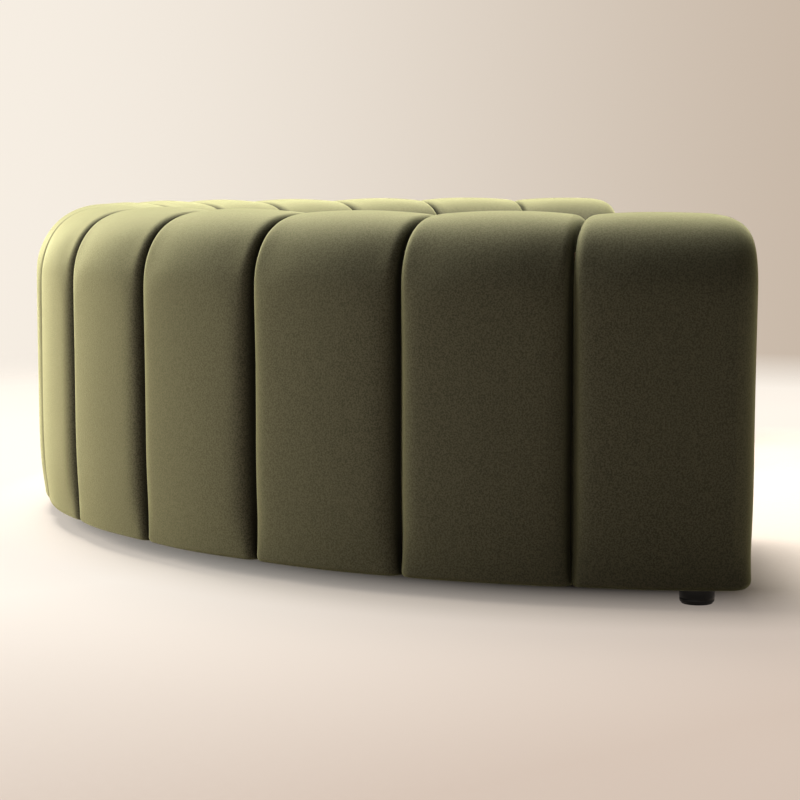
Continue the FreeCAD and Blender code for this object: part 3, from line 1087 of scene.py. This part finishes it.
class SOFA_OT_frame_finishes(bpy.types.Operator):
    """Finish the timber, boards, webbing, cloths and studs under the covers"""
    bl_idname = "sofa.frame_finishes"
    bl_label = "Frame Finishes"

    def execute(self, context):
        dress(plywood_finish(), "seam_ribs", "end_panels", "top_board", "bottom_rail_outer",
              "bottom_rail_middle", "bottom_rail_front", "seat_rail_front", "seat_rail_back")
        dress(hardboard_finish(), "outside_back_boards", "inside_back_boards", "seat_front_boards")
        dress(woven_finish("Webbing", JUTE_PALE, JUTE_DARK, WEBBING_THREADS),
              "webbing_across", "webbing_front_to_back")
        dress(woven_finish("Decking", LINEN_PALE, LINEN_DARK, DECK_THREADS), "deck_cloth")
        dress(dust_cloth_finish(), "dust_cover")
        dress(steel_finish(), "foot_studs")
        return {"FINISHED"}


# Name, place, width and height, watts and colour of each lamp, all turned to one point
LAMPS = (
    ("Key", (0.0, 5.2, 3.0), (3.2, 2.4), 275.0, (1.0, 0.955, 0.90)),
    ("Top", (1.4, 0.8, 4.1), (3.0, 3.0), 540.0, (1.0, 0.96, 0.91)),
)
LAMP_TARGET = (0.0, 0.0, 0.35)
SENSOR_WIDTH = 36.0

# Weak light from all round, and where the backdrop's painted light changes from its dim to its light side
FILL_STRENGTH = 0.06
FILL_COLOUR = (1.0, 0.95, 0.90)
BACKDROP_DIM_AT = -0.24
BACKDROP_LIT_AT = 0.20

# The floor's radius, and where it starts to fade out
FLOOR_SOLID = 3.2
FLOOR_END = 4.8
FLOOR_TURNS = 96

# Painted light on the floor: which way it grows lighter, from where to where, and how far it lifts the floor
# away from the sofa
FLOOR_SLOPE = (0.76, 0.65, 0.0)
FLOOR_DIM_AT = -2.15
FLOOR_LIT_AT = -0.60
LIFT = 0.80
LIFT_START = 1.26
LIFT_END = 1.66


def add_lamp(name, place, size, power, colour):
    data = bpy.data.lights.new(name, "AREA")
    data.shape = "RECTANGLE"
    data.size, data.size_y = size
    data.energy = power
    data.color = colour
    lamp = bpy.data.objects.new(name, data)
    lamp.location = place
    lamp.rotation_mode = "QUATERNION"
    lamp.rotation_quaternion = (Vector(LAMP_TARGET) - Vector(place)).to_track_quat("-Z", "Y")
    bpy.context.scene.collection.objects.link(lamp)


def make_world(stage):
    """A backdrop with painted light, pale towards the light and dimmer away from it, with a weak fill light.
    """
    world = bpy.data.worlds.new("Studio")
    bpy.context.scene.world = world
    world.use_nodes = True
    sky = Nodes(world.node_tree, "Generated")
    split = sky.add("ShaderNodeSeparateXYZ")
    sky.wire(sky.place, split.inputs[0])
    share = sky.spread(split.outputs["Y"], BACKDROP_DIM_AT, BACKDROP_LIT_AT, smooth=True)
    backdrop = sky.tree.nodes["Background"]
    sky.wire(sky.blend(share, stage.dim_wall, stage.lit_wall), backdrop.inputs["Color"])
    backdrop.inputs["Strength"].default_value = 1.0
    fill = sky.add("ShaderNodeBackground")
    fill.inputs["Color"].default_value = (*FILL_COLOUR, 1.0)
    fill.inputs["Strength"].default_value = FILL_STRENGTH
    sky.wire(sky.either(sky.seen(), fill.outputs[0], backdrop.outputs[0]),
             sky.tree.nodes["World Output"].inputs["Surface"])


def floor_with_painted_light(look, stage):
    """The floor as the camera sees it: its own shading close to the sofa, lifted further out by painted
    light that grows lighter towards the light.
    """
    toward_light = look.measure("DOT_PRODUCT", look.place, FLOOR_SLOPE)
    share = look.spread(toward_light, FLOOR_DIM_AT, FLOOR_LIT_AT)
    painted_floor_light = look.add("ShaderNodeEmission")
    look.wire(look.blend(share, stage.dim_floor, stage.lit_floor), painted_floor_light.inputs["Color"])
    from_centre = look.measure("DISTANCE", look.place, (0.0, ARC_CENTRE_Y, 0.0))
    painted_light_share = look.spread(from_centre, LIFT_START, LIFT_END, 0.0, LIFT)
    return look.either(look.maths("MULTIPLY", painted_light_share, look.seen()), look.shader.outputs[0], painted_floor_light.outputs[0])


def make_floor(stage):
    """A round pale floor that fades into the backdrop at its rim."""
    rim = [2 * math.pi * turn / FLOOR_TURNS for turn in range(FLOOR_TURNS)]
    points = [(0.0, 0.0, 0.0)] + [(FLOOR_END * math.cos(angle), FLOOR_END * math.sin(angle), 0.0)
                                  for angle in rim]
    faces = [(0, 1 + turn, 1 + (turn + 1) % FLOOR_TURNS) for turn in range(FLOOR_TURNS)]
    look = Finish("Pale floor")
    trowel = look.noise(1.3, 4.0, 0.6)
    fine = look.noise(60.0, 3.0, 0.6)
    colour = look.blend(look.spread(trowel, 0.35, 0.65), shade(stage.floor, 0.97), stage.floor)
    look.surface(colour, look.spread(fine, 0.3, 0.7, 0.55, 0.75), look.bump(fine, 0.05, 0.0005),
                 Specular_IOR_Level=0.2)
    fade = look.spread(look.measure("LENGTH", look.place), FLOOR_SOLID, FLOOR_END)
    clear = look.add("ShaderNodeBsdfTransparent")
    look.wire(look.either(fade, floor_with_painted_light(look, stage), clear.outputs[0]),
              look.tree.nodes["Material Output"].inputs["Surface"])
    link_piece("floor", points, faces, [look.material])


class SOFA_OT_stage(bpy.types.Operator):
    """Lay the floor and set the light and the camera"""
    bl_idname = "sofa.stage"
    bl_label = "Stage"

    def execute(self, context):
        scene = context.scene
        stage = scene.sofa_stage
        make_world(stage)
        make_floor(stage)
        for lamp in LAMPS:
            add_lamp(*lamp)
        data = bpy.data.cameras.new("Camera")
        data.sensor_width = SENSOR_WIDTH
        data.lens = stage.lens
        camera = bpy.data.objects.new("Camera", data)
        camera.location = stage.camera_place
        camera.rotation_euler = (math.pi / 2 - stage.camera_pitch, 0.0, -math.pi / 2)
        scene.collection.objects.link(camera)
        scene.camera = camera
        scene.view_settings.view_transform = "Standard"
        return {"FINISHED"}


STEPS = ("back_covers", "seat_covers", "feet", "frame_finishes", "stage")


class SOFA_PT_panel(bpy.types.Panel):
    """Sizes, finishes and steps of the sofa"""
    bl_label = "Curved Channel Sofa"
    bl_idname = "SOFA_PT_panel"
    bl_space_type = "VIEW_3D"
    bl_region_type = "UI"
    bl_category = "Sofa"

    def draw(self, context):
        for group in (context.scene.sofa_sizes, context.scene.sofa_finishes, context.scene.sofa_stage):
            for name in type(group).__annotations__:
                self.layout.prop(group, name)
        for step in STEPS:
            self.layout.operator("sofa." + step)


CLASSES = (SofaSizes, SofaFinishes, SofaStage, SOFA_OT_back_covers, SOFA_OT_seat_covers, SOFA_OT_feet,
           SOFA_OT_frame_finishes, SOFA_OT_stage, SOFA_PT_panel)


def register():
    for each in CLASSES:
        bpy.utils.register_class(each)
    bpy.types.Scene.sofa_sizes = bpy.props.PointerProperty(type=SofaSizes)
    bpy.types.Scene.sofa_finishes = bpy.props.PointerProperty(type=SofaFinishes)
    bpy.types.Scene.sofa_stage = bpy.props.PointerProperty(type=SofaStage)


def unregister():
    del bpy.types.Scene.sofa_stage
    del bpy.types.Scene.sofa_finishes
    del bpy.types.Scene.sofa_sizes
    for each in reversed(CLASSES):
        bpy.utils.unregister_class(each)


def main():
    register()
    for step in STEPS:
        getattr(bpy.ops.sofa, step)()


if __name__ == "__main__":
    main()
